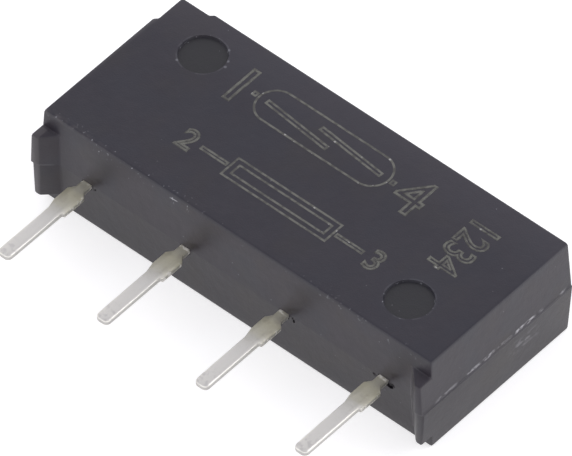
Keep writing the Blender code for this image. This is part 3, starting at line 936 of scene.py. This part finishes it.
@dataclass(frozen=True)
class EnamelledCopper:
    """Copper wire under amber enamel. A winding also shows its turns, with painted shade in the
    grooves between them.
    """

    name: str
    turn_pitch: float | None = None
    copper: Colour = (0.72, 0.27, 0.10)
    shade: Colour = (0.40, 0.12, 0.045)
    enamel_depth: float = 0.002

    def material(self) -> bpy.types.Material:
        """Makes the material.

        Returns:
            The wire's or the winding's material.
        """
        graph = Graph(self.name)
        cloud = graph.noise(3.0)
        mask = cloud.ramp(0.35, 0.75) * 0.4
        normal = graph.bump(cloud, self.enamel_depth)
        if self.turn_pitch:
            wander = graph.noise(0.7, 1.0, 5.0) * 2.0
            phase = graph.x * (math.pi / self.turn_pitch) + wander
            # painted shade: the grooves between the turns are darkened
            groove = 1.0 - abs(phase.sine())
            mask = (mask + groove.ramp(0.55, 1.0)).capped()
            normal = graph.bump(1.0 - groove, self.turn_pitch * 0.4)
        colour = graph.mix(mask, self.copper, self.shade)
        return graph.finish(
            Base_Color=colour,
            Metallic=0.85,
            Roughness=0.22 + cloud * 0.12,
            Normal=normal,
            Coat_Weight=0.6,
            Coat_Roughness=0.08,
        )


@dataclass(frozen=True)
class BrightSolder:
    """A solder bead, bright with a frosted patch or two."""

    bright: Colour = (0.76, 0.76, 0.75)
    frost: Colour = (0.55, 0.55, 0.54)
    ripple_depth: float = 0.004

    def material(self) -> bpy.types.Material:
        """Makes the material.

        Returns:
            The solder's material.
        """
        graph = Graph("solder")
        frost = graph.noise(7.0, 3.0).ramp(0.45, 0.65)
        colour = graph.mix(frost, self.bright, self.frost)
        roughness = 0.14 + frost * 0.26
        normal = graph.bump(graph.noise(12.0), self.ripple_depth)
        return graph.finish(Base_Color=colour, Metallic=1.0, Roughness=roughness, Normal=normal)


@dataclass(frozen=True)
class BurntMark:
    """The pale lines that a marking laser leaves, broken by the resin's grain."""

    pale: Colour = (0.130, 0.131, 0.116)
    thin: Colour = (0.070, 0.069, 0.064)
    spark: Colour = (0.32, 0.32, 0.31)
    wear: Mottle = Mottle(4.0, 3.0, 0.0, (0.40, 0.64))
    spark_patches: Mottle = Mottle(2.3, 1.0, 3.0, (0.52, 0.58))
    burn_depth: float = 0.004

    def material(self) -> bpy.types.Material:
        """Makes the material.

        Returns:
            The marking's material.
        """
        graph = Graph("laser_marking")
        lines = graph.mix(graph.mottle(self.wear), self.pale, self.thin)
        sparks = graph.dots(scale=3.4, radius=0.22) * graph.mottle(self.spark_patches)
        colour = graph.mix(sparks, lines, self.spark)
        normal = graph.bump(graph.noise(16.0), self.burn_depth)
        return graph.finish(Base_Color=colour, Roughness=0.75, Normal=normal)


def deselect() -> None:
    """Leaves edit mode and selects nothing."""
    if bpy.context.mode != "OBJECT":
        bpy.ops.object.mode_set(mode="OBJECT")
    bpy.ops.object.select_all(action="DESELECT")


def make_active(piece: bpy.types.Object) -> None:
    """Selects one object only and makes it the active one.

    Args:
        piece: The object.
    """
    deselect()
    piece.select_set(True)
    bpy.context.view_layer.objects.active = piece


def edit_all(piece: bpy.types.Object) -> None:
    """Enters edit mode with the whole mesh selected.

    Args:
        piece: The object.
    """
    make_active(piece)
    bpy.ops.object.mode_set(mode="EDIT")
    bpy.ops.mesh.select_mode(type="FACE")
    bpy.ops.mesh.select_all(action="SELECT")


def seated(piece: bpy.types.Object) -> None:
    """Moves an object's place into its mesh, so that the object sits at the origin."""
    make_active(piece)
    bpy.ops.object.transform_apply(location=True, rotation=True, scale=True)


def select_points(piece: bpy.types.Object, wanted: Callable[[Vector], bool]) -> None:
    """Selects the corners that pass a test, and enters edit mode.

    Args:
        piece: The object.
        wanted: A function of a corner's place in metres that says whether it is selected.
    """
    make_active(piece)
    bpy.ops.object.mode_set(mode="EDIT")
    bpy.ops.mesh.select_mode(type="VERT")
    bpy.ops.mesh.select_all(action="DESELECT")
    bpy.ops.object.mode_set(mode="OBJECT")
    for vert in piece.data.vertices:
        vert.select = bool(wanted(vert.co))
    bpy.ops.object.mode_set(mode="EDIT")


def dress(piece: bpy.types.Object, material: bpy.types.Material) -> None:
    """Gives an object one material.

    Args:
        piece: The object.
        material: The finish.
    """
    if not piece.material_slots:
        piece.data.materials.append(material)
    for slot in piece.material_slots:
        slot.material = material


def apply_modifier(piece: bpy.types.Object, kind: str, **settings: object) -> None:
    """Adds a modifier and applies it.

    Args:
        piece: The object.
        kind: Blender's name of the modifier's type.
        settings: The modifier's properties.
    """
    make_active(piece)
    modifier = piece.modifiers.new(kind.lower(), kind)
    for key, setting in settings.items():
        setattr(modifier, key, setting)
    bpy.ops.object.modifier_apply(modifier=modifier.name)


def shade_round(piece: bpy.types.Object) -> None:
    """Shades slight edges smoothly, and turns their normals towards the wide flat faces.

    Args:
        piece: The object.
    """
    make_active(piece)
    bpy.ops.object.shade_smooth_by_angle(angle=math.radians(SMOOTH_DEGREES))
    apply_modifier(piece, "WEIGHTED_NORMAL", mode="FACE_AREA", weight=100, keep_sharp=True)


def merged_copy(node: str, name: str) -> bpy.types.Object:
    """Copies a CAD node's mesh and joins its loose triangles.

    Args:
        node: The CAD node's name.
        name: The copy's name.

    Returns:
        The copy.
    """
    piece = bpy.data.objects.new(name, frame["nodes"][node].data.copy())
    bpy.context.scene.collection.objects.link(piece)
    make_active(piece)
    bpy.ops.mesh.customdata_custom_splitnormals_clear()
    edit_all(piece)
    bpy.ops.mesh.remove_doubles(threshold=MERGE_DISTANCE * MM)
    bpy.ops.object.mode_set(mode="OBJECT")
    return piece


def stand_in(piece: bpy.types.Object, node: str, body: str) -> None:
    """Lets a piece replace a CAD node, with its body.

    Args:
        piece: The piece.
        node: The CAD node that it stands for.
        body: The body that it rides on.
    """
    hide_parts(node)
    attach(piece, body)
    for row in frame["record"]["subparts"]:
        row["node"] == node


@dataclass
class Assembly:
    """A sub-assembly of the relay, which keeps a list of its pieces."""

    pieces: list = field(default_factory=list, kw_only=True)

    def add_copy(
        self, node: str, finish: bpy.types.Material, body: str = "relay", name: str = ""
    ) -> None:
        """Replaces a CAD node by a copy whose curves are shaded smoothly.

        Args:
            node: The CAD node that the copy stands for.
            finish: The copy's material.
            body: The body that it rides on.
            name: Its name, where that isn't made from the node's.
        """
        piece = merged_copy(node, name or f"{node}_smooth")
        shade_round(piece)
        stand_in(piece, node, body)
        dress(piece, finish)
        self.pieces.append(piece)


@dataclass(frozen=True)
class Pit:
    """A small void in the moulding, where the resin stopped short of a terminal."""

    middle: tuple
    size: tuple
    seed: int


@dataclass
class MouldedShell(Assembly):
    """The black moulding: the CAD solid joined up, pitted beside the terminals and smoothed."""

    node: str = "moulded_body"
    raggedness: float = 0.22
    front_facing: float = -0.995
    rim_reach: float = 1.5
    pits: tuple = (
        Pit((7.88, -4.17, 2.21), (0.23, 0.13, 0.15), 4),
        Pit((8.02, -4.17, 2.39), (0.15, 0.07, 0.12), 9),
        Pit((7.82, -4.17, 1.93), (0.08, 0.09, 0.19), 6),
        Pit((7.19, -4.17, 2.35), (0.12, 0.07, 0.10), 2),
        Pit((2.92, -4.17, 2.27), (0.14, 0.08, 0.13), 7),
        Pit((3.02, -4.17, 2.44), (0.12, 0.04, 0.14), 11),
        Pit((-2.16, -4.17, 2.24), (0.10, 0.05, 0.12), 5),
        Pit((-7.22, -4.17, 2.30), (0.14, 0.09, 0.09), 3),
        Pit((-7.12, -4.17, 2.64), (0.06, 0.06, 0.20), 13),
    )

    def build(self) -> None:
        """Makes and dresses the shell."""
        shell = merged_copy(self.node, "moulding")
        for pit in self.pits:
            self.open_pit(shell, pit)
        self.crisp_rims(shell)
        shade_round(shell)
        stand_in(shell, self.node, "relay")
        dress(shell, BlackMoulding(box=Box.of(self.node)).material())
        self.pieces.append(shell)

    def open_pit(self, shell: bpy.types.Object, pit: Pit) -> None:
        """Cuts one ragged void into the shell.

        Args:
            shell: The moulding.
            pit: The void's place, half sizes and pattern.
        """
        deselect()
        place = [value * MM for value in pit.middle]
        bpy.ops.mesh.primitive_ico_sphere_add(subdivisions=2, radius=MM, location=place)
        cutter = bpy.context.active_object
        edit_all(cutter)
        bpy.ops.transform.vertex_random(offset=self.raggedness * MM, uniform=1.0, seed=pit.seed)
        bpy.ops.transform.resize(value=pit.size)
        bpy.ops.object.mode_set(mode="OBJECT")
        seated(cutter)
        apply_modifier(shell, "BOOLEAN", operation="DIFFERENCE", solver="EXACT", object=cutter)
        bpy.data.objects.remove(cutter, do_unlink=True)

    def crisp_rims(self, shell: bpy.types.Object) -> None:
        """Marks the voids' rims sharp, so that the face round them stays flat.

        Args:
            shell: The moulding.
        """
        flat = {}
        for face in shell.data.polygons:
            for key in face.edge_keys:
                flat.setdefault(key, set()).add(face.normal.y < self.front_facing)
        select_points(shell, lambda place: False)
        bpy.ops.mesh.select_mode(type="EDGE")
        bpy.ops.object.mode_set(mode="OBJECT")
        for edge in shell.data.edges:
            corner = shell.data.vertices[edge.vertices[0]].co
            edge.select = len(flat[edge.key]) > 1 and self.by_a_pit(corner)
        bpy.ops.object.mode_set(mode="EDIT")
        bpy.ops.mesh.mark_sharp()
        bpy.ops.object.mode_set(mode="OBJECT")

    def by_a_pit(self, corner: Vector) -> bool:
        """Whether a corner lies at a void's rim."""
        near = ((corner / MM - Vector(pit.middle)).length / max(pit.size) for pit in self.pits)
        return min(near) < self.rim_reach


@dataclass
class LeadFrame(Assembly):
    """The four stamped terminals."""

    front: float = -4.18
    count: int = 4

    def build(self) -> None:
        """Makes and dresses the terminals."""
        tin = StainedTin(front=self.front, box=Box.of("terminal_1")).material()
        for number in range(1, self.count + 1):
            self.add_copy(f"terminal_{number}", tin, name=f"pin_{number}")


@dataclass
class Coil(Assembly):
    """The bobbin, its winding, the winding's ends and their solder."""

    turn_pitch: float = 0.08

    def build(self) -> None:
        """Makes and dresses the coil's pieces."""
        wire = EnamelledCopper(name="enamelled_copper").material()
        turns = EnamelledCopper(name="wound_copper", turn_pitch=self.turn_pitch).material()
        solder = BrightSolder().material()
        finishes = {
            "bobbin": FormerPlastic().material(),
            "coil_winding": turns,
            "coil_start_wire": wire,
            "coil_finish_wire": wire,
            "solder_joint_2": solder,
            "solder_joint_3": solder,
        }
        for node, finish in finishes.items():
            self.add_copy(node, finish)


@dataclass
class ReedSwitch(Assembly):
    """The glass capsule with its two leads and blades."""

    seal_length: float = 1.30

    def build(self) -> None:
        """Makes and dresses the switch's pieces."""
        half = Box.of("glass_capsule").high.x
        glass = CapsuleGlass(seal_from=half - self.seal_length).material()
        alloy = DrawnAlloy().material()
        finishes = {
            "glass_capsule": ("relay", glass),
            "reed_lead_1": ("relay", alloy),
            "reed_lead_2": ("relay", alloy),
            "reed_blade_1": ("lower_reed", alloy),
            "reed_blade_2": ("upper_reed", alloy),
        }
        for node, (body, finish) in finishes.items():
            self.add_copy(node, finish, body)


@dataclass(frozen=True)
class Line:
    """A plain number in hollow figures on the marked face."""

    figures: str
    low: Spot
    height: float
    reading: Reading = Reading.ALONG_BODY
    narrowing: float = 1.0


@dataclass(frozen=True)
class Stroke:
    """A straight stroke of the connection diagram, drawn hollow."""

    start: Spot
    end: Spot
    width: float = 0.28


@dataclass
class FaceMarking(Assembly):
    """The marked face's burnt lines: terminal numbers round a diagram, and a plain number.

    The diagram shows the reed's contacts between terminals 1 and 4, over the coil between
    terminals 2 and 3.
    """

    line_width: float = 0.095
    proud: float = 0.004
    capsule: tuple = ((-3.20, 1.95), (1.70, 1.95))
    capsule_radius: float = 0.92
    capsule_corners: int = 48
    off_middle: float = 0.001
    lines: tuple = (
        Line("1", (-5.20, 0.95), 2.00),
        Line("4", (3.10, 0.95), 2.00),
        Line("2", (-5.05, -2.10), 1.15),
        Line("3", (4.55, -2.10), 1.15),
        Line("1234", (6.30, -0.30), 1.50, Reading.ACROSS_BODY, 0.80),
    )
    strokes: tuple = (
        Stroke((-4.42, 1.95), (-4.16, 1.95)),
        Stroke((2.66, 1.95), (2.92, 1.95)),
        Stroke((-3.70, 1.95), (-0.30, 1.62)),
        Stroke((-1.20, 2.28), (2.20, 1.95)),
        Stroke((-2.60, -1.52), (2.80, -1.52), 1.15),
        Stroke((-2.32, -1.52), (2.52, -1.52), 0.62),
        Stroke((-4.05, -1.52), (-2.66, -1.52), 0.24),
        Stroke((2.86, -1.52), (4.30, -1.52), 0.24),
    )

    def build(self) -> None:
        """Makes all lines, joins them into one piece and dresses it."""
        self.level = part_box("moulded_body")[1].z
        drawn = [self.draw_line(line) for line in self.lines]
        drawn += [self.draw_stroke(stroke) for stroke in self.strokes]
        drawn.append(self.draw_capsule())
        deselect()
        for piece in drawn:
            piece.select_set(True)
        bpy.context.view_layer.objects.active = drawn[0]
        bpy.ops.object.join()
        marking = bpy.context.active_object
        marking.name = "face_marking"
        dress(marking, BurntMark().material())
        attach(marking, "relay")
        self.pieces.append(marking)

    def draw_line(self, line: Line) -> bpy.types.Object:
        """Sets a line of figures as outlines at its place and height.

        Args:
            line: The figures, their place and their height.

        Returns:
            The outlines' flattened mesh.
        """
        deselect()
        bpy.ops.object.text_add()
        text = bpy.context.active_object
        text.data.body = line.figures
        text.data.size = line.height * MM
        text.data.resolution_u = 4
        text.data.fill_mode = "NONE"
        text.data.bevel_depth = self.line_width / 2 * MM
        text.data.bevel_resolution = 0
        bpy.ops.object.convert(target="MESH")
        figure = line.height * MM / text.dimensions.y
        text.scale = (figure * line.narrowing, figure, 2 * self.proud * MM / text.dimensions.z)
        text.rotation_euler.z = math.radians(line.reading.value)
        seated(text)
        points = [vert.co for vert in text.data.vertices]
        corner = [min(point[axis] for point in points) for axis in (0, 1)]
        text.location = (*(Vector(line.low) * MM - Vector(corner)), self.level)
        seated(text)
        return text

    def draw_stroke(self, stroke: Stroke) -> bpy.types.Object:
        """Draws a straight stroke's outline.

        Args:
            stroke: Its ends and width.

        Returns:
            The outline's mesh.
        """
        start, end = Vector(stroke.start), Vector(stroke.end)
        middle = (start + end) / 2 * MM
        run = end - start
        deselect()
        bpy.ops.mesh.primitive_plane_add(size=MM, location=(*middle, self.level))
        piece = bpy.context.active_object
        piece.scale = (run.length, stroke.width, 1.0)
        piece.rotation_euler.z = math.atan2(run.y, run.x)
        seated(piece)
        return self.outline(piece)

    def draw_capsule(self) -> bpy.types.Object:
        """Draws the reed capsule's outline as a hollow stroke.

        Returns:
            The outline's mesh.
        """
        (left, y), (right, _) = self.capsule
        middle = ((left + right) / 2 * MM, y * MM, self.level)
        deselect()
        round_shape = {"vertices": self.capsule_corners, "radius": self.capsule_radius * MM}
        bpy.ops.mesh.primitive_circle_add(fill_type="NGON", location=middle, **round_shape)
        piece = bpy.context.active_object
        reach = (right - left) / 2 * MM
        for side in (-1, 1):
            select_points(piece, lambda point: point.x * side > self.off_middle * MM)
            bpy.ops.transform.translate(value=(side * reach, 0, 0))
        seated(piece)
        return self.outline(piece)

    def outline(self, piece: bpy.types.Object) -> bpy.types.Object:
        """Turns a flat shape into a raised line along its border.

        Args:
            piece: The flat shape.

        Returns:
            The same object, with the line's mesh.
        """
        edit_all(piece)
        bpy.ops.mesh.inset(thickness=self.line_width * MM, use_boundary=True)
        bpy.ops.mesh.delete(type="FACE")
        bpy.ops.object.mode_set(mode="OBJECT")
        apply_modifier(piece, "SOLIDIFY", thickness=2 * self.proud * MM, offset=0.0)
        edit_all(piece)
        bpy.ops.mesh.normals_make_consistent(inside=False)
        bpy.ops.object.mode_set(mode="OBJECT")
        return piece


@dataclass(frozen=True)
class Lamp:
    """A square lamp that faces the object."""

    name: str
    place: tuple
    side: float
    watts: float


@dataclass
class Studio:
    """The photograph's camera, a soft studio and a white floor."""

    azimuth: float = 41.3271
    elevation: float = 48.3882
    roll: float = -0.19173
    distance: float = 700.0
    focal_pixels: float = 17992.2
    target: tuple = (-1.6858, 0.7665, 0.0)
    sensor: float = 36.0
    nearest: float = 10.0
    farthest: float = 10000.0
    floor_size: float = 4000.0
    floor_albedo: float = 0.70
    floor_lift: float = 0.55
    horizon: Colour = (1.14, 1.115, 1.145)
    ceiling: Colour = (0.70, 0.69, 0.745)
    walls_to: float = 0.42
    ceiling_from: float = 0.72
    lamps: tuple = (
        Lamp("window", (260.0, 240.0, 300.0), 300.0, 0.50),
        Lamp("fill", (-220.0, -320.0, 260.0), 240.0, 0.16),
    )

    def build(self) -> None:
        """Sets up everything that isn't the object."""
        self.place_camera()
        self.lay_floor()
        self.light_world()
        for lamp in self.lamps:
            self.hang(lamp)
        bpy.context.scene.view_settings.view_transform = "Standard"

    def place_camera(self) -> None:
        """Puts the camera where the photograph was taken from."""
        azimuth, elevation = math.radians(self.azimuth), math.radians(self.elevation)
        view = Vector((
            math.sin(azimuth) * math.cos(elevation),
            -math.cos(azimuth) * math.cos(elevation),
            math.sin(elevation),
        ))
        right = Vector((math.cos(azimuth), math.sin(azimuth), 0.0))
        up = view.cross(right)
        turn = Matrix((right, up, view)).transposed()
        data = bpy.data.cameras.new("photo_camera")
        data.sensor_width = self.sensor
        data.lens = self.focal_pixels * self.sensor / PHOTO_WIDTH
        data.clip_start = self.nearest * MM
        data.clip_end = self.farthest * MM
        camera = bpy.data.objects.new("photo_camera", data)
        bpy.context.scene.collection.objects.link(camera)
        tilt = Matrix.Rotation(math.radians(self.roll), 3, "Z")
        place = (Vector(self.target) + view * self.distance) * MM
        camera.matrix_world = Matrix.Translation(place) @ (turn @ tilt).to_4x4()
        bpy.context.scene.camera = camera

    def lay_floor(self) -> None:
        """Lays a floor that shows white and keeps the shadow."""
        deselect()
        bpy.ops.mesh.primitive_plane_add(size=self.floor_size * MM)
        floor = bpy.context.active_object
        floor.name = "floor"
        graph = Graph("white_floor")
        rays = graph.node("ShaderNodeLightPath", {}, {}).outputs
        kinds = ("Is Camera Ray", "Is Glossy Ray", "Is Transmission Ray")
        camera, glossy, through = (Value(graph, rays[kind]) for kind in kinds)
        glow = graph.mix((camera + glossy + through).capped(), (0.0,) * 3, (self.floor_lift,) * 3)
        white = (self.floor_albedo,) * 3
        shine = {"Specular_IOR_Level": 0.0, "Emission_Color": glow, "Emission_Strength": 1.0}
        dress(floor, graph.finish(Base_Color=white, Roughness=1.0, **shine))

    def light_world(self) -> None:
        """Surrounds the object with walls that are bright low down and a duller ceiling."""
        world = bpy.data.worlds.new("studio")
        bpy.context.scene.world = world
        world.use_nodes = True
        nodes = Nodes(world.node_tree)
        where = nodes.node("ShaderNodeTexCoord", {}, {}).outputs["Generated"]
        height = nodes.value("ShaderNodeSeparateXYZ", {}, {"Vector": where}, "Z")
        shade = nodes.mix(height.ramp(self.walls_to, self.ceiling_from), self.horizon, self.ceiling)
        nodes.feed(world.node_tree.nodes["Background"].inputs["Color"], shade)

    def hang(self, lamp: Lamp) -> None:
        """Hangs a lamp.

        Args:
            lamp: Its name, place, side and power.
        """
        data = bpy.data.lights.new(lamp.name, "AREA")
        data.shape = "SQUARE"
        data.size = lamp.side * MM
        data.energy = lamp.watts
        hung = bpy.data.objects.new(lamp.name, data)
        bpy.context.scene.collection.objects.link(hung)
        hung.location = Vector(lamp.place) * MM
        hung.rotation_mode = "QUATERNION"
        hung.rotation_quaternion = Vector(lamp.place).to_track_quat("Z", "Y")


def main() -> None:
    """Builds the studio and the relay's sub-assemblies in order."""
    Studio().build()
    for assembly in (MouldedShell(), LeadFrame(), Coil(), ReedSwitch(), FaceMarking()):
        assembly.build()
        names = ", ".join(piece.name for piece in assembly.pieces)
        log.info("%s: %s", type(assembly).__name__, names)


if __name__ == "__main__":
    main()
